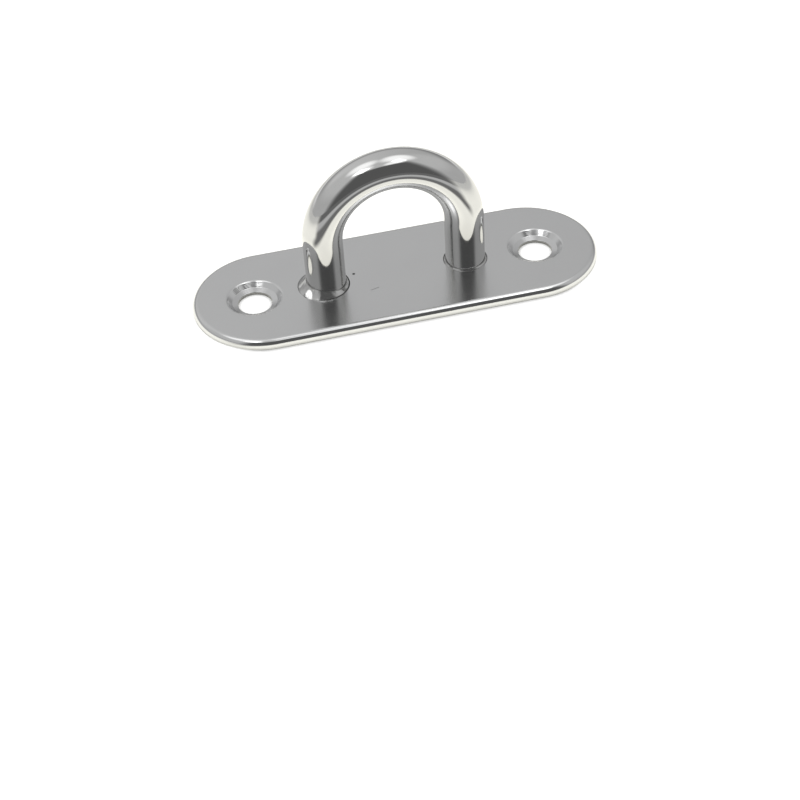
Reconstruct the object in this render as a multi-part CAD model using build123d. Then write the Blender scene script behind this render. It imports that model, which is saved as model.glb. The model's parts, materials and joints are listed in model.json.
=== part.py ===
from build123d import *
from math import isclose, radians, tan
import os

# Pad eye: a bent round bar welded upright into an oblong screw-down plate. Sizes are in millimetres.
# The origin is the middle of the plate's flat back. X runs along the plate and Z points up to the eye.

# Plate
plate_length = 85.0
plate_width = 30.0
plate_thickness = 2.0
edge_roll = 1.3  # rounding of the upper edge
edge_break = 0.15  # blunting of the lower edge

# Screw holes, from the back upwards: a straight land, a sloping ledge, a cone and a rolled rim
hole_spacing = 59.5
hole_diameter = 7.0
hole_land = 0.6
ledge_width = 1.15
ledge_rise = 0.38
sink_angle = 92.0  # included angle of the cone
rim_roll = 0.7

# Hoop
bar_diameter = 8.2
eye_width = 21.2  # clear gap between the legs
eye_height = 21.2  # clear gap from the plate's face to the crown

# Weld metal, which fills the seats of the legs and climbs the legs as a fillet
left_weld_inner = 0.65  # width on the side of the left leg towards the eye
left_weld_outer = 1.85  # width on the side of the left leg away from the eye
right_weld_width = 0.45
weld_slope = 45.0  # of the fillet against the plate's face
weld_undercut = 0.2  # depth of the groove along the toe of the fillet
seat_bevel = 0.5  # weld preparation round each seat on the back

# Worked out from the sizes above
bar_radius = bar_diameter / 2
bend_radius = eye_width / 2 + bar_radius
spring_height = plate_thickness + eye_height - eye_width / 2
left_seat_x = (left_weld_inner - left_weld_outer) / 2 - bend_radius
left_seat_radius = bar_radius + (left_weld_inner + left_weld_outer) / 2
right_seat_radius = bar_radius + right_weld_width
standing = (Align.CENTER, Align.CENTER, Align.MIN)


def turned(outline):
    """Turn a closed outline of (radius, height) points about Z."""
    return revolve(Plane.XZ * make_face(Polyline(*outline, close=True)), Axis.Z)


def seat_fill(x, radius, rim, middle):
    """What fills a leg's seat, bevelled at the back. Rim and middle are its heights at the wall and the axis."""
    outline = [
        (0, 0),
        (radius + seat_bevel, 0),
        (radius, seat_bevel),
        (radius, rim),
        (0, middle),
    ]
    return Pos(X=x) * turned(outline)


def screw_hole(x):
    """One stepped and countersunk screw hole."""
    hole_radius = hole_diameter / 2
    ledge_radius = hole_radius + ledge_width
    ledge_top = hole_land + ledge_rise
    sink_radius = ledge_radius + (plate_thickness - ledge_top) * tan(radians(sink_angle / 2))
    outline = [
        (0, 0),
        (hole_radius, 0),
        (hole_radius, hole_land),
        (ledge_radius, ledge_top),
        (sink_radius, plate_thickness),
        (0, plate_thickness),
    ]
    return Pos(X=x) * turned(outline)


def is_sink_rim(edge):
    """Whether an edge is the rim of a countersink on the plate's face."""
    if edge.geom_type != GeomType.CIRCLE:
        return False
    centre = edge.arc_center
    return isclose(abs(centre.X), hole_spacing / 2) and isclose(centre.Z, plate_thickness)


def make_base_plate():
    """The stamped plate: rolled upper edge, two screw holes and two leg seats."""
    plate = extrude(SlotOverall(plate_length, plate_width), plate_thickness)
    upper_roll = min(edge_roll, plate_thickness - 2 * edge_break)
    plate = fillet(plate.faces().sort_by(Axis.Z)[-1].edges(), upper_roll)
    plate = chamfer(plate.faces().sort_by(Axis.Z)[0].edges(), edge_break)
    plate -= seat_fill(left_seat_x, left_seat_radius, plate_thickness, plate_thickness)
    plate -= seat_fill(bend_radius, right_seat_radius, plate_thickness, plate_thickness)
    for x in (-hole_spacing / 2, hole_spacing / 2):
        plate -= screw_hole(x)
    return fillet(plate.edges().filter_by(is_sink_rim), rim_roll)


def make_hoop():
    """The bent bar: half-round crown on two straight legs that go through the plate."""
    bend_axis = Axis((0, 0, spring_height), (0, -1, 0))
    crown = revolve(Pos(bend_radius, 0, spring_height) * Circle(bar_radius), bend_axis, 180)
    left_leg = Pos(X=-bend_radius) * Cylinder(bar_radius, spring_height, align=standing)
    right_leg = Pos(X=bend_radius) * Cylinder(bar_radius, spring_height, align=standing)
    return crown + left_leg + right_leg


def make_weld(x, radius, hoop):
    """Weld metal round a leg: a fillet with an undercut toe on the face, ground flush at the back."""
    toe = plate_thickness - weld_undercut
    return seat_fill(x, radius, toe, toe + radius * tan(radians(weld_slope))) - hoop


hoop = make_hoop()
nodes = {
    "base_plate": make_base_plate(),
    "hoop": hoop,
    "left_weld": make_weld(left_seat_x, left_seat_radius, hoop),
    "right_weld": make_weld(bend_radius, right_seat_radius, hoop),
}

os.makedirs("parts", exist_ok=True)
for name, solid in nodes.items():
    solid.label = name
    export_step(solid, f"parts/{name}.step")
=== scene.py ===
import json
import math
import bmesh
import bpy
from mathutils import Matrix, Vector, noise


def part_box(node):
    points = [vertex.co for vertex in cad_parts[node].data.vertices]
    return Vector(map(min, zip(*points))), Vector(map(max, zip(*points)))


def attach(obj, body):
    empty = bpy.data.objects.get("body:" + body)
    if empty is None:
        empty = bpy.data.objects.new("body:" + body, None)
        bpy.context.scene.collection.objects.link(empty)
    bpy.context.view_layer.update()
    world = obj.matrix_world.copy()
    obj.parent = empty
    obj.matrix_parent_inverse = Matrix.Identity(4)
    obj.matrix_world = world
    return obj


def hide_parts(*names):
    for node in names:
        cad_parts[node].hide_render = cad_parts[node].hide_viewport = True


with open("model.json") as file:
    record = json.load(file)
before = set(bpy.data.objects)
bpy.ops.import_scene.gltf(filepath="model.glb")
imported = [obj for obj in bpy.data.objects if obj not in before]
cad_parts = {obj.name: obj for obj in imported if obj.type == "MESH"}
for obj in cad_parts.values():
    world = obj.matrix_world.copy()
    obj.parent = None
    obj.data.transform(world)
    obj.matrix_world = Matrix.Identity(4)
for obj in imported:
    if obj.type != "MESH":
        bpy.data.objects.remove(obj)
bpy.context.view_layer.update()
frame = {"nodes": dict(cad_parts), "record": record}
scene = bpy.context.scene
scene.view_settings.view_transform = "Standard"
mm = 0.001
white, black = (1, 1, 1, 1), (0, 0, 0, 1)
print("frame loaded:", ", ".join(sorted(frame["nodes"])))


# One socket of a node tree. Operators on it add Math nodes, and node() adds anything else.
class Wire:
    def __init__(self, tree, socket=None):
        self.tree = tree
        self.socket = socket

    def node(self, kind, settings=None, values=None, output=0):
        made = self.tree.nodes.new(kind)
        for name, value in (settings or {}).items():
            setattr(made, name, value)
        for name, value in (values or {}).items():
            if isinstance(value, Wire):
                self.tree.links.new(value.socket, made.inputs[name])
            else:
                made.inputs[name].default_value = value
        return Wire(self.tree, made.outputs[output] if len(made.outputs) else None)

    def other(self, output):  # another output of the same node
        return Wire(self.tree, self.socket.node.outputs[output])

    def maths(self, operation, *values):
        return self.node("ShaderNodeMath", {"operation": operation}, dict(enumerate(values)))

    def __add__(self, value):
        return self.maths("ADD", self, value)

    def __sub__(self, value):
        return self.maths("SUBTRACT", self, value)

    def __rsub__(self, value):
        return self.maths("SUBTRACT", value, self)

    def __mul__(self, value):
        return self.maths("MULTIPLY", self, value)

    def __truediv__(self, value):
        return self.maths("DIVIDE", self, value)

    def __rtruediv__(self, value):
        return self.maths("DIVIDE", value, self)

    def __pow__(self, value):
        return self.maths("POWER", self, value)

    def __abs__(self):
        return self.maths("ABSOLUTE", self)

    __radd__ = __add__
    __rmul__ = __mul__

    def larger(self, value):
        return self.maths("MAXIMUM", self, value)

    def clamp(self, low, high):
        return self.maths("MINIMUM", self, high).larger(low)

    def step(self, low, high):  # 0 below low, 1 above high, smooth between
        edges = {"Value": self, "From Min": low, "From Max": high}
        return self.node("ShaderNodeMapRange", {"interpolation_type": "SMOOTHSTEP"}, edges)

    def mix(self, low, high):  # this wire goes from 0 to 1, the result from low to high
        return low + (high - low) * self

    def axes(self):
        split = self.node("ShaderNodeSeparateXYZ", values={"Vector": self})
        return split, split.other("Y"), split.other("Z")

    def vector(self, x, y, z):
        return self.node("ShaderNodeCombineXYZ", values={"X": x, "Y": y, "Z": z})

    def stretched(self, x, y, z):
        return self.node("ShaderNodeVectorMath", {"operation": "MULTIPLY"}, {0: self, 1: (x, y, z)})

    def noise(self, scale, detail):
        values = {"Vector": self, "Scale": scale, "Detail": detail}
        return self.node("ShaderNodeTexNoise", values=values)


def newMaterial(name):
    material = bpy.data.materials.new(name)
    material.use_nodes = True
    material.node_tree.nodes.clear()
    return material, Wire(material.node_tree)


# Colour from first to second as the factor goes from 0 to 1
def blend(factor, first, second):
    colours = {0: factor, 6: first, 7: second}
    return factor.node("ShaderNodeMix", {"data_type": "RGBA"}, colours, 2)


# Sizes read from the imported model, in metres
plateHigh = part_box("base_plate")[1]
plateThickness = plateHigh.z
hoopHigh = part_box("hoop")[1]
barRadius = hoopHigh.y
bendRadius = hoopHigh.x - barRadius
springHeight = hoopHigh.z - hoopHigh.x
mounts = frame["record"]["mounts"]
screws = next(mount["dims"] for mount in mounts if mount["name"] == "screw_holes")
holeX = screws["spacing_x_mm"] / 2 * mm
holeRadius = screws["hole_r_mm"] * mm

# Camera, fitted to the photograph's viewing angle
cameraLook = {
    "azimuth": -10.929,  # degrees, 0 looks along +Y
    "elevation": 41.701,
    "roll": -3.898,
    "distance": 330.52 * mm,
    "target": (-8.28 * mm, -37.31 * mm, 0.4 * mm),
    "focalPixels": 1736.73,
    "imagePixels": 800,
}


def makeCamera(look):
    angles = ("azimuth", "elevation", "roll")
    azimuth, elevation, roll = (math.radians(look[name]) for name in angles)
    level = math.cos(elevation)
    back = Vector((math.sin(azimuth) * level, -math.cos(azimuth) * level, math.sin(elevation)))
    right = Vector((math.cos(azimuth), math.sin(azimuth), 0))
    turn = Matrix((right, back.cross(right), back)).transposed() @ Matrix.Rotation(roll, 3, "Z")
    data = bpy.data.cameras.new("camera")
    data.lens = data.sensor_width * look["focalPixels"] / look["imagePixels"]
    camera = bpy.data.objects.new("camera", data)
    scene.collection.objects.link(camera)
    place = Vector(look["target"]) + back * look["distance"]
    camera.matrix_world = Matrix.Translation(place) @ turn.to_4x4()
    scene.camera = camera


makeCamera(cameraLook)
print("camera set")


# Direction by azimuth from +Y towards +X and elevation, in degrees
def directionOf(azimuth, elevation):
    turn, rise = math.radians(azimuth), math.radians(elevation)
    level = math.cos(rise)
    return Vector((math.sin(turn) * level, math.cos(turn) * level, math.sin(rise)))


# Room round the object, as the polished bar shows it. Heights are sines of the elevation.
roomLook = {
    "walls": 0.62,
    "lowWalls": 0.52,  # lower part of the side walls
    "lowBack": 0.35,  # lower part of the back wall
    "lowTop": (0.2, 0.5),
    "backSides": (0.3, 0.8),  # where the back wall sets in, cosine of the angle off +Y
    "lean": 0.3,  # how much brighter the back wall is towards the left
    "horizon": 0.95,  # pale strip along the foot of the back wall
    "horizonTop": (0.04, 0.13),
    "ceiling": 0.62,
    "ceilingFrom": (0.9, 1),
    "shade": 0.12,  # dark side behind the camera
    "shadeTop": (0.785, 0.85),
    "shadeSides": (0.57, 0.84),  # cosine of the angle off the camera side
}
# Soft light round the softboxes: direction, and the angles at which it is whole and gone
haloLooks = [
    {"azimuth": -84, "elevation": 69, "whole": 4, "gone": 21, "glow": 1.35},
    {"azimuth": -134, "elevation": 60, "whole": 3, "gone": 15, "glow": 1.25},
    {"azimuth": 100, "elevation": 74, "whole": 5, "gone": 22, "glow": 1.35},
    {"azimuth": 157, "elevation": 58, "whole": 3, "gone": 13, "glow": 1.35},
]


def makeRoom(look, halos):
    world = bpy.data.worlds.new("room")
    world.use_nodes = True
    world.node_tree.nodes.clear()
    scene.world = world
    start = Wire(world.node_tree)
    direction = start.node("ShaderNodeTexCoord", output="Generated")
    x, y, height = direction.axes()
    behind = y / (x * x + y * y + 1e-6) ** 0.5  # 1e-6 is for straight up
    atBack = behind.step(*look["backSides"])
    low = atBack.mix(look["lowWalls"], look["lowBack"])
    glow = height.step(*look["lowTop"]).mix(low, look["walls"])
    glow = glow * (1 - x * atBack * look["lean"])
    glow = (atBack * (1 - height.step(*look["horizonTop"]))).mix(glow, look["horizon"])
    glow = height.step(*look["ceilingFrom"]).mix(glow, look["ceiling"])
    shade = (-1 * behind).step(*look["shadeSides"]) * (1 - height.step(*look["shadeTop"]))
    glow = shade.mix(glow, look["shade"])
    for halo in halos:
        both = {0: direction, 1: directionOf(halo["azimuth"], halo["elevation"])}
        cosine = start.node("ShaderNodeVectorMath", {"operation": "DOT_PRODUCT"}, both, "Value")
        gone, whole = (math.cos(math.radians(halo[name])) for name in ("gone", "whole"))
        glow = (cosine.step(gone, whole) * (1 - shade)).mix(glow, halo["glow"])
    glow = start.node("ShaderNodeLightPath", output="Is Camera Ray").mix(glow, 1)
    background = start.node("ShaderNodeBackground", values={"Color": white, "Strength": glow})
    start.node("ShaderNodeOutputWorld", values={"Surface": background})


# Softboxes by direction from the object, with their width and height in degrees
lampDistance = 0.6
lampLooks = {
    "leftSoftbox": {"azimuth": -133, "elevation": 60, "width": 15, "height": 12, "glow": 1.7},
    "rightSoftbox": {"azimuth": 138, "elevation": 66, "width": 12, "height": 11, "glow": 1.7},
}


def makeLamp(name, look):
    outward = directionOf(look["azimuth"], look["elevation"])
    data = bpy.data.lights.new(name, "AREA")
    data.shape = "RECTANGLE"
    data.size = 2 * lampDistance * math.tan(math.radians(look["width"]) / 2)
    data.size_y = 2 * lampDistance * math.tan(math.radians(look["height"]) / 2)
    data.energy = look["glow"] * math.pi * data.size * data.size_y
    lamp = bpy.data.objects.new(name, data)
    lamp.location = outward * lampDistance
    lamp.rotation_mode = "QUATERNION"
    lamp.rotation_quaternion = outward.to_track_quat("Z", "Y")
    lamp.visible_camera = False
    scene.collection.objects.link(lamp)


# Floor: pale paper that the camera and the metal see as white, with the object's shadow kept
floorLook = {
    "radius": 2.0,
    "sides": 96,
    "height": -0.02 * mm,
    "paper": (0.82, 0.82, 0.81, 1),
    "lift": 0.64,  # added white where a ray comes from the camera
    "crevice": 1.0 * mm,  # reach of the shade beside the plate
    "creviceSamples": 8,
    "softEnds": (0.003, 0.01),  # how far past the plate's straight sides that shade thins out
    "mirroredNear": 0.8,  # added white in the metal, close to the plate
    "nearSpan": (0.002, 0.01),  # distances from the plate's edge
    "mirroredLift": 0.62,
    "farSpan": (0.02, 0.16),
    "mirroredFar": 0.15,
    "mirroredTint": (1, 0.98, 0.86, 1),
}
# Dark cloth laid in front of the paper, which only the metal shows.
# Distances are from the object, and sides are cosines of the angle off the camera side.
clothLook = {
    "starts": (0.036, 0.045),
    "sides": (0.34, 0.62),  # at its near edge
    "farSides": (0.5, 0.72),
    "narrows": (0.045, 0.06),
    "lean": 0.13,  # how far it lies towards the left
    "glow": 0.2,
    "paleGlow": 0.58,  # paler stripe in it
    "paleStarts": (0.06, 0.08),
    "paleEnds": (0.11, 0.15),
    "farGlow": 0.17,  # beyond the stripe
}


def makeFloor(look, cloth):
    mesh = bpy.data.meshes.new("floor")
    form = bmesh.new()
    bmesh.ops.create_circle(form, cap_ends=True, segments=look["sides"], radius=look["radius"])
    bmesh.ops.translate(form, vec=(0, 0, look["height"]), verts=form.verts)
    form.to_mesh(mesh)
    form.free()
    material, start = newMaterial("paper")
    rays = start.node("ShaderNodeLightPath", output="Is Camera Ray")
    mirrored = rays.other("Is Glossy Ray").larger(rays.other("Is Transmission Ray"))
    x, y = start.node("ShaderNodeTexCoord", output="Object").axes()[:2]
    away = (x * x + y * y + 1e-9) ** 0.5  # 1e-9 is for the middle
    pastEnd = (abs(x) - (plateHigh.x - plateHigh.y)).larger(0)
    offPlate = (pastEnd * pastEnd + y * y) ** 0.5 - plateHigh.y
    # white paper
    paper = start.node("ShaderNodeBsdfDiffuse", values={"Color": look["paper"]})
    samples, reach = {"samples": look["creviceSamples"]}, {"Distance": look["crevice"]}
    opening = start.node("ShaderNodeAmbientOcclusion", samples, reach, "AO")
    seenLift = pastEnd.step(*look["softEnds"]).mix(opening * opening, 1) * rays * look["lift"]
    seen = start.node("ShaderNodeEmission", values={"Color": seenLift})
    lift = offPlate.step(*look["nearSpan"]).mix(look["mirroredNear"], look["mirroredLift"])
    lift = offPlate.step(*look["farSpan"]).mix(lift, look["mirroredFar"]) * mirrored * opening
    tinted = blend(lift, black, look["mirroredTint"])
    inMetal = start.node("ShaderNodeEmission", values={"Color": tinted})
    bright = start.node("ShaderNodeAddShader", values={0: seen, 1: inMetal})
    bright = start.node("ShaderNodeAddShader", values={0: paper, 1: bright})
    # dark cloth
    pastStripe = away.step(*cloth["paleEnds"])
    stripe = away.step(*cloth["paleStarts"]) * (1 - pastStripe)
    glow = stripe.mix(pastStripe.mix(cloth["glow"], cloth["farGlow"]), cloth["paleGlow"])
    dark = start.node("ShaderNodeEmission", values={"Color": glow})
    ahead = (-1 * y - x * cloth["lean"]) / away
    nearFront, farFront = ahead.step(*cloth["sides"]), ahead.step(*cloth["farSides"])
    front = away.step(*cloth["narrows"]).mix(nearFront, farFront) * away.step(*cloth["starts"])
    both = start.node("ShaderNodeMixShader", values={0: front * mirrored, 1: bright, 2: dark})
    start.node("ShaderNodeOutputMaterial", values={"Surface": both})
    mesh.materials.append(material)
    floor = bpy.data.objects.new("floor", mesh)
    scene.collection.objects.link(floor)


makeRoom(roomLook, haloLooks)
for lampName, lampLook in lampLooks.items():
    makeLamp(lampName, lampLook)
makeFloor(floorLook, clothLook)
print("room, softboxes and floor set")


# Millimetre coordinates on the piece
def objectPlace(start):
    spot = start.node("ShaderNodeTexCoord", output="Object")
    return spot.stretched(1 / mm, 1 / mm, 1 / mm)


def steelMaterial(material, start, colour, roughness, height, depth):
    bump = start.node("ShaderNodeBump", values={"Height": height, "Distance": depth})
    metal = {"Base Color": colour, "Metallic": 1.0, "Roughness": roughness, "Normal": bump}
    steel = start.node("ShaderNodeBsdfPrincipled", values=metal)
    start.node("ShaderNodeOutputMaterial", values={"Surface": steel})
    return material


# Polished bar of the hoop, with painted shade near its feet
barFinish = {
    "dark": (0.66, 0.66, 0.655, 1),
    "light": (0.71, 0.71, 0.705, 1),
    "footShade": (0.53, 0.53, 0.525, 1),  # painted shade: darker near the welds and the plate, standing in for dark reflection
    "footShadeTop": (9, 17),  # millimetres above the back of the plate, where the painted shade fades out
    "roughness": 0.05,
    "haze": 0.03,  # added in the clouds
    "cloudStretch": (0.25, 0.5, 0.5),  # along the bar, then over its section
    "lineStretch": (0.4, 9, 9),  # polishing lines
    "lineDepth": 0.0008 * mm,
}


def makeBarFinish(look):
    material, start = newMaterial("polishedBar")
    flow = start.node("ShaderNodeAttribute", {"attribute_name": "barFlow"}, output="Vector")
    clouds = flow.stretched(*look["cloudStretch"]).noise(1, 3)
    lines = flow.stretched(*look["lineStretch"]).noise(1, 2)
    colour = blend(clouds, look["dark"], look["light"])
    height = objectPlace(start).axes()[2]
    # painted shade: the bar is darker low down, near the plate
    colour = blend(height.step(*look["footShadeTop"]), look["footShade"], colour)
    roughness = look["roughness"] + look["haze"] * clouds
    return steelMaterial(material, start, colour, roughness, lines, look["lineDepth"])


# Satin plate with turned countersinks and painted shade at the foot of each screw hole. Places,
# widths and reaches are in millimetres.
plateFinish = {
    "dark": (0.655, 0.655, 0.66, 1),
    "light": (0.70, 0.705, 0.705, 1),
    "cloudScale": 0.12,
    "cloudShare": 0.6,  # of the colour, the rest is grain
    "grainStretch": (1.2, 4, 4),
    "fineScale": 9,
    "grainShare": 0.6,  # of the relief, the rest is finer
    "grainDepth": 0.0015 * mm,
    "roughness": 0.22,
    "roughnessSpread": 0.05,
    "turnedRoughness": 0.09,
    "turnedReach": (5.6, 5.9),  # from the middle of a screw hole
    "edgeRoughness": 0.1,
    "edgeDrop": (0.2, 0.05),  # below the face
    "edgeReach": (6.4, 6.5),  # keeps the edge's finish out of the screw holes
    # colour of the real pit and scratch, and of the painted shade in the screw holes
    "markAndShadeColour": (0.12, 0.12, 0.12, 1),
    "markRoughness": 0.3,
    "markDepth": 6,  # times the grain's
    "holeShadeReach": (3.5, 3.56),  # painted shade on the wall at the foot of a screw hole
    "holeShadeTop": (0.55, 0.6),
    "holeShadeDark": 0.8,
    "pit": (-8.66, 1.63),
    "pitReach": (0.03, 0.16),  # squared
    "scratchMiddle": (-5.56, -4.47),
    "scratchSlope": 0.26,
    "scratchWidth": (0.05, 0.16),
    "scratchEnds": (0.7, 1.1),
    "scratchDark": 0.5,
}


def makePlateFinish(look):
    material, start = newMaterial("satinPlate")
    place = objectPlace(start)
    x, y, height = place.axes()
    clouds = place.noise(look["cloudScale"], 3)
    grain = place.stretched(*look["grainStretch"]).noise(1, 4)
    fine = place.noise(look["fineScale"], 2)
    # distance from the middle of the nearer screw hole
    across = abs(x) - holeX / mm
    fromHole = (across * across + y * y) ** 0.5
    turned = 1 - fromHole.step(*look["turnedReach"])
    # painted shade low in each screw hole
    inHole = 1 - fromHole.step(*look["holeShadeReach"])
    holeShade = inHole * (1 - height.step(*look["holeShadeTop"]))
    # outer edge
    edgeHeights = (plateThickness / mm - drop for drop in look["edgeDrop"])
    edge = (1 - height.step(*edgeHeights)) * fromHole.step(*look["edgeReach"])
    # one pit and one scratch
    pitX, pitY = x - look["pit"][0], y - look["pit"][1]
    pit = 1 - (pitX * pitX + pitY * pitY).step(*look["pitReach"])
    scratchX, scratchY = x - look["scratchMiddle"][0], y - look["scratchMiddle"][1]
    offLine = abs(scratchY - scratchX * look["scratchSlope"]).step(*look["scratchWidth"])
    scratch = (1 - offLine) * (1 - abs(scratchX).step(*look["scratchEnds"]))
    marks = (pit + scratch * look["scratchDark"]).clamp(0, 1)
    # colour, roughness and relief
    mottle = clouds * look["cloudShare"] + grain * (1 - look["cloudShare"])
    colour = blend(mottle, look["dark"], look["light"])
    # real marks, plus painted shade at the foot of each screw hole
    dark = (marks + holeShade * look["holeShadeDark"]).clamp(0, 1)
    colour = blend(dark, colour, look["markAndShadeColour"])
    satin = look["roughness"] + (grain - 0.5) * look["roughnessSpread"]
    satin = satin + marks * look["markRoughness"]
    roughness = turned.mix(edge.mix(satin, look["edgeRoughness"]), look["turnedRoughness"])
    relief = grain * look["grainShare"] + fine * (1 - look["grainShare"])
    relief = relief - marks * look["markDepth"]
    return steelMaterial(material, start, colour, roughness, relief, look["grainDepth"])


# Weld metal, with painted shade at its toe and along the leg
weldFinish = {
    "dark": (0.52, 0.52, 0.515, 1),
    "light": (0.65, 0.65, 0.645, 1),
    "cloudScale": 0.9,
    "grainScale": 3.5,
    "grainDepth": 0.012 * mm,
    "roughness": 0.09,
    "roughnessSpread": 0.12,
    # painted shade colour for the toe and the line along the leg
    "crevice": (0.09, 0.09, 0.088, 1),
    "creviceRoughness": 0.25,
    "toeWidth": (0.14, 0.3),  # millimetres over which the painted shade of the toe fades
    "legWidth": (0.04, 0.2),  # the same for the painted shade along the leg
    "legShade": 0.6,
}


def makeWeldFinish(look):
    material, start = newMaterial("weldMetal")
    place = objectPlace(start)
    clouds = place.noise(look["cloudScale"], 3)
    grain = place.noise(look["grainScale"], 3)
    bead = start.node("ShaderNodeAttribute", {"attribute_name": "beadPlaceAndShade"}, output="Vector")
    fromToe, fromLeg, toeShade = bead.axes()
    # painted shade in the crevices at the toe and along the leg
    toe = (1 - fromToe.step(*look["toeWidth"])) * toeShade
    crevice = toe.larger((1 - fromLeg.step(*look["legWidth"])) * look["legShade"])
    colour = blend(clouds, look["dark"], look["light"])
    colour = blend(crevice, colour, look["crevice"])
    roughness = look["roughness"] + look["roughnessSpread"] * grain
    roughness = roughness + crevice * look["creviceRoughness"]
    return steelMaterial(material, start, colour, roughness, grain, look["grainDepth"])


barSteel = makeBarFinish(barFinish)
plateSteel = makePlateFinish(plateFinish)
weldSteel = makeWeldFinish(weldFinish)
print("finishes made")


# Finished mesh to a piece on the frame
def dress(name, mesh, node):
    piece = bpy.data.objects.new(name, mesh)
    scene.collection.objects.link(piece)
    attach(piece, "root")
    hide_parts(node)
    print(name, "stands for", node, "with", len(mesh.polygons), "faces")


# Hoop: a unit cylinder laid along leg, crown and leg by a rule
hoopLook = {
    "Bar Radius": barRadius,
    "Bend Radius": bendRadius,
    "Leg Length": springHeight,
    "Polish Wave": 0.012 * mm,  # unevenness left by hand polishing
    "Wave Length": 4.5 * mm,
}
hoopCounts = {"Vertices": 128, "Side Segments": 320}


def makeHoopTree(look, counts, material):
    tree = bpy.data.node_groups.new("bentBar", "GeometryNodeTree")
    for name in look:
        tree.interface.new_socket(name, in_out="INPUT", socket_type="NodeSocketFloat")
    tree.interface.new_socket("Geometry", in_out="OUTPUT", socket_type="NodeSocketGeometry")
    start = Wire(tree)
    entry = start.node("NodeGroupInput")
    bar, bend, leg, wave, waveLength = (entry.other(name) for name in look)
    across, side, lengthwise = start.node("GeometryNodeInputPosition").axes()
    # distance along the bar, from the right foot over the crown to the left foot
    leftStart = leg + bend * math.pi
    along = (lengthwise + 0.5) * (leftStart + leg)
    angle = ((along - leg) / bend).clamp(0, math.pi)
    drop = (leg - along).larger(along - leftStart).larger(0)
    cosine, sine = angle.maths("COSINE", angle), angle.maths("SINE", angle)
    flow = start.vector(along, across * bar, side * bar)
    radius = bar - flow.noise(1 / waveLength, 1.0) * wave
    outward = bend + radius * across
    place = start.vector(outward * cosine, radius * side, leg + outward * sine - drop)
    unit = {"Radius": 1.0, "Depth": 1.0, **counts}
    form = start.node("GeometryNodeMeshCylinder", {"fill_type": "NGON"}, unit)
    flowInMm = flow.stretched(1 / mm, 1 / mm, 1 / mm)
    kept = {"Geometry": form, "Name": "barFlow", "Value": flowInMm}
    form = start.node("GeometryNodeStoreNamedAttribute", {"data_type": "FLOAT_VECTOR"}, kept)
    form = start.node("GeometryNodeSetPosition", values={"Geometry": form, "Position": place})
    form = start.node("GeometryNodeRealizeInstances", values={"Geometry": form})
    form = start.node("GeometryNodeSetMaterial", values={"Geometry": form, "Material": material})
    start.node("NodeGroupOutput", values={"Geometry": form})
    return tree


def bakeTree(tree, look):
    holder = bpy.data.objects.new("holder", bpy.data.meshes.new("holder"))
    scene.collection.objects.link(holder)
    modifier = holder.modifiers.new("bentBar", "NODES")
    modifier.node_group = tree
    for item in tree.interface.items_tree:
        if item.in_out == "INPUT":
            modifier[item.identifier] = look[item.name]
    evaluated = holder.evaluated_get(bpy.context.evaluated_depsgraph_get())
    mesh = bpy.data.meshes.new_from_object(evaluated)
    holder.modifiers.remove(modifier)
    bpy.data.objects.remove(holder)
    return mesh


# Smooth shading, with creases at real corners
creaseAngle = 0.6  # radians


def smoothMesh(mesh):
    form = bmesh.new()
    form.from_mesh(mesh)
    for face in form.faces:
        face.smooth = True
    for edge in form.edges:
        edge.smooth = len(edge.link_faces) != 2 or edge.calc_face_angle() < creaseAngle
    form.to_mesh(mesh)
    form.free()


hoop = bakeTree(makeHoopTree(hoopLook, hoopCounts, barSteel), hoopLook)
smoothMesh(hoop)
dress("hoop_bar", hoop, "hoop")

# Plate: rings of points joined into walls, then the two flat faces filled in
plateLook = {
    "edgeRoll": 1.3 * mm,
    "edgeBreak": 0.15 * mm,
    "rollSteps": 16,
    "endSteps": 96,
    "holeSteps": 144,
}
sinkLook = {
    "land": 0.6 * mm,
    "ledgeRadius": 4.65 * mm,
    "ledgeHeight": 0.98 * mm,
    "slope": 44,  # of the cone, degrees from the plate's face
    "rimRoll": 0.7 * mm,
    "rimSteps": 8,
    "wallSteps": 28,
    "turningPitch": 0.26 * mm,  # rings left by the cutter
    "turningDepth": 0.0035 * mm,
    "turningFade": 6,  # they come in over a sixth of the wall
    "cornerBreak": 0.05 * mm,
}
seatLook = {"bevel": 0.5 * mm, "edgeRound": 0.1 * mm, "roundSteps": 4}
faceTolerance = 1e-7


def slotRing(inset, height):
    radius = plateHigh.y - inset
    reach = plateHigh.x - plateHigh.y
    ring = []
    for end in (1, -1):
        for step in range(plateLook["endSteps"] + 1):
            angle = math.pi * (step / plateLook["endSteps"] - 0.5)
            x, y = reach + radius * math.cos(angle), radius * math.sin(angle)
            ring.append((end * x, end * y, height))
    return ring


def circleRing(x, radius, height):
    turns = [math.tau * step / plateLook["holeSteps"] for step in range(plateLook["holeSteps"])]
    return [(x + radius * math.cos(turn), radius * math.sin(turn), height) for turn in turns]


def joinRings(form, rings, closed=False):
    loops = [[form.verts.new(point) for point in ring] for ring in rings]
    pairs = list(zip(loops, loops[1:]))
    if closed:
        pairs.append((loops[-1], loops[0]))
    for low, high in pairs:
        for here in range(len(low)):
            there = (here + 1) % len(low)
            form.faces.new((low[here], low[there], high[there], high[here]))
    return loops


def fillFlat(form, loops):
    edges = []
    for loop in loops:
        edges += [form.edges.get((loop[here - 1], loop[here])) for here in range(len(loop))]
    bmesh.ops.triangle_fill(form, use_beauty=True, edges=edges)


# Points of the plate's outer edge, top to bottom: inset from the outline and height
def edgeProfile(look):
    roll = look["edgeRoll"]
    points = []
    for step in range(look["rollSteps"] + 1):
        turn = math.pi / 2 * step / look["rollSteps"]
        height = plateThickness - roll * (1 - math.cos(turn))
        points.append((roll * (1 - math.sin(turn)), height))
    return points + [(0, look["edgeBreak"]), (look["edgeBreak"], 0)]


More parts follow.
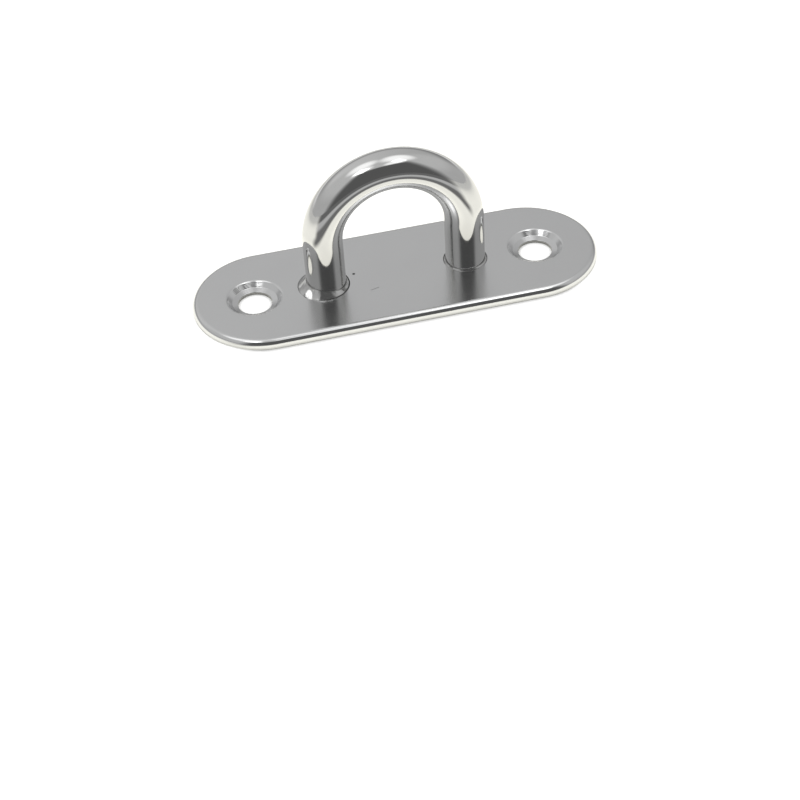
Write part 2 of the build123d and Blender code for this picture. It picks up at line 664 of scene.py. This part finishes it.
# Rounded rim of a hole in the plate's face: radius and height at each turn
def roundedRim(middle, roll, turns):
    heights = [plateThickness + roll * (math.sin(turn) - 1) for turn in turns]
    return [(middle + roll * math.cos(turn), height) for turn, height in zip(turns, heights)]


# Straight wall with cutter rings, from one (radius, height) point to another
def turnedWall(start, end, look):
    run, fall = end[0] - start[0], end[1] - start[1]
    length = math.hypot(run, fall)
    points = []
    for step in range(look["wallSteps"] + 1):
        share = step / look["wallSteps"]
        fade = min(1, look["turningFade"] * share, look["turningFade"] * (1 - share))
        wave = math.cos(math.tau * share * length / look["turningPitch"])
        ripple = look["turningDepth"] * fade * wave
        radius = start[0] + run * share - ripple * fall / length
        points.append((radius, start[1] + fall * share + ripple * run / length))
    return points


# Points of one screw hole, top to bottom: radius and height
def sinkProfile(look):
    slope = math.radians(look["slope"])
    roll = look["rimRoll"]
    sinkRadius = look["ledgeRadius"] + (plateThickness - look["ledgeHeight"]) / math.tan(slope)
    rimRadius = sinkRadius + roll * math.tan(slope / 2)
    turns = [math.pi / 2 + slope * step / look["rimSteps"] for step in range(look["rimSteps"])]
    rim = roundedRim(rimRadius, roll, turns)
    rimEnd = (rimRadius - roll * math.sin(slope), plateThickness + roll * (math.cos(slope) - 1))
    ledge = (look["ledgeRadius"], look["ledgeHeight"])
    corner = look["cornerBreak"]
    lip = (holeRadius + corner, look["land"])
    cone = turnedWall(rimEnd, ledge, look)
    shelf = turnedWall(ledge, lip, look)[1:]
    return rim + cone + shelf + [(holeRadius, look["land"] - corner), (holeRadius, 0)]


# Points of the hole that takes one leg, top to bottom
def seatProfile(radius, look):
    steps, edge = look["roundSteps"], look["edgeRound"]
    turns = [math.pi / 2 * (1 + step / steps) for step in range(steps + 1)]
    rim = roundedRim(radius + edge, edge, turns)
    return rim + [(radius, look["bevel"]), (radius + look["bevel"], 0)]


# Middle and radius of the seat that a weld fills, from the weld's box
def seatOf(node):
    low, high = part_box(node)
    return (low.x + high.x) / 2, (high.x - low.x) / 2 - seatLook["bevel"]


def makePlate():
    form = bmesh.new()
    walls = [joinRings(form, [slotRing(*point) for point in edgeProfile(plateLook)])]
    holes = [(x, sinkProfile(sinkLook)) for x in (-holeX, holeX)]
    for node in ("left_weld", "right_weld"):
        x, radius = seatOf(node)
        holes.append((x, seatProfile(radius, seatLook)))
    for x, profile in holes:
        walls.append(joinRings(form, [circleRing(x, *point) for point in profile]))
    fillFlat(form, [loops[0] for loops in walls])
    fillFlat(form, [loops[-1] for loops in walls])
    bmesh.ops.recalc_face_normals(form, faces=form.faces)
    mesh = bpy.data.meshes.new("base_plate_steel")
    form.to_mesh(mesh)
    form.free()
    smoothMesh(mesh)
    # the flat face keeps its straight normals up to its rounded edges, the rest stays as it is
    onFace = [vertex.co.z > plateThickness - faceTolerance for vertex in mesh.vertices]
    mesh.normals_split_custom_set_from_vertices([(0, 0, int(flat)) for flat in onFace])
    mesh.materials.append(plateSteel)
    return mesh


dress("plate_steel", makePlate(), "base_plate")

# Welds: a ring of profiles from the undercut toe up to the leg, closed round the back.
# Directions are in degrees from +X.
weldLooks = {
    "left_weld": {
        "legX": -bendRadius,
        "faintTowards": (140, 185),  # directions where the painted toe shade is lighter
        "faint": 0.95,  # share of the painted toe shade that is gone there
        "ground": {"x": -19.0 * mm, "y": -3.0 * mm, "z": 2.45 * mm, "tilt": 37, "facing": 243},
    },
    "right_weld": {"legX": bendRadius, "faintTowards": (20, 195, 340), "faint": 0.75},
}
groundReach = (0.8 * mm, 1.2 * mm)  # where a ground flat is whole, and where it has run out
beadLook = {
    "slope": 45,  # degrees
    "frontSlope": 51,
    "frontTowards": 265,
    "frontPower": 2,
    "undercut": 0.2 * mm,
    "sides": 192,
    "steps": 14,
    "hollow": 0.14,  # deepest sag of the fillet, as a share of its width
    "hollowTowards": 220,
    "hollowPower": 8,  # more is narrower
    "lump": 0.06 * mm,
    "lumpSize": 0.9 * mm,
    "lumpFade": 4,  # lumps come in over a quarter of the fillet
    "seed": 11.0,
}


# How far (x, y) lies in a direction
def reachTowards(x, y, degrees):
    turn = math.radians(degrees)
    return x * math.cos(turn) + y * math.sin(turn)


# Height of a bead at a point, eased onto a flat that was ground into it
def groundHeight(x, y, height, flat):
    right, ahead = x - flat["x"], y - flat["y"]
    downhill = reachTowards(right, ahead, flat["facing"])
    level = flat["z"] - downhill * math.tan(math.radians(flat["tilt"]))
    whole, gone = groundReach
    share = min(1, max(0, (gone - math.hypot(right, ahead)) / (gone - whole)))
    return height + (level - height) * share * share * (3 - 2 * share)


# One profile of a weld in the direction of (x, y) from the middle of its seat. Each point also gets
# its distances in millimetres from the toe and from the leg, and how strong the painted toe shade
# is there.
def beadProfile(x, y, weld, seat, look):
    seatX, seatRadius = seat
    bevel = seatLook["bevel"]
    offset = weld["legX"] - seatX
    legReach = offset * x + math.sqrt(barRadius**2 - (offset * y) ** 2)
    width = seatRadius - legReach
    toe = plateThickness - look["undercut"]
    steeper = max(0, reachTowards(x, y, look["frontTowards"])) ** look["frontPower"]
    slope = math.radians(look["slope"] + (look["frontSlope"] - look["slope"]) * steeper)
    facing = max(0, reachTowards(x, y, look["hollowTowards"]))
    hollow = look["hollow"] * facing ** look["hollowPower"]
    fainter = max(0, *(reachTowards(x, y, degrees) for degrees in weld["faintTowards"]))
    toeShade = 1 - weld["faint"] * fainter
    points = [(legReach, 0), (seatRadius + bevel, 0), (seatRadius, bevel)]
    places = [(1, 1, 0)] * len(points)  # inside the plate, far from both lines
    for step in range(look["steps"] + 1):
        share = step / look["steps"]
        reach = seatRadius - width * share
        spotX, spotY = seatX + reach * x, reach * y
        rise = width * share * math.tan(slope)
        sag = 4 * share * (1 - share) * width * hollow
        spot = Vector((spotX, spotY, look["seed"] * mm)) / look["lumpSize"]
        lump = look["lump"] * abs(noise.noise(spot)) * min(1, look["lumpFade"] * share)
        height = toe + rise - sag - lump
        if "ground" in weld:
            height = groundHeight(spotX, spotY, height, weld["ground"])
        points.append((reach, height))
        places.append((width * share / mm, width * (1 - share) / mm, toeShade))
    return [(seatX + reach * x, reach * y, height) for reach, height in points], places


def makeWeld(node, weld):
    seat = seatOf(node)
    turns = [math.tau * step / beadLook["sides"] for step in range(beadLook["sides"])]
    profiles = [
        beadProfile(math.cos(turn), math.sin(turn), weld, seat, beadLook) for turn in turns
    ]
    form = bmesh.new()
    joinRings(form, list(zip(*(points for points, places in profiles))), closed=True)
    bmesh.ops.recalc_face_normals(form, faces=form.faces)
    mesh = bpy.data.meshes.new(node + "_bead")
    form.to_mesh(mesh)
    form.free()
    smoothMesh(mesh)
    kept = mesh.attributes.new("beadPlaceAndShade", "FLOAT_VECTOR", "POINT")
    ringPlaces = zip(*(places for points, places in profiles))
    for value, place in zip(kept.data, (place for ring in ringPlaces for place in ring)):
        value.vector = place
    mesh.materials.append(weldSteel)
    return mesh


for weldNode, weldLook in weldLooks.items():
    dress(weldNode + "_bead", makeWeld(weldNode, weldLook), weldNode)
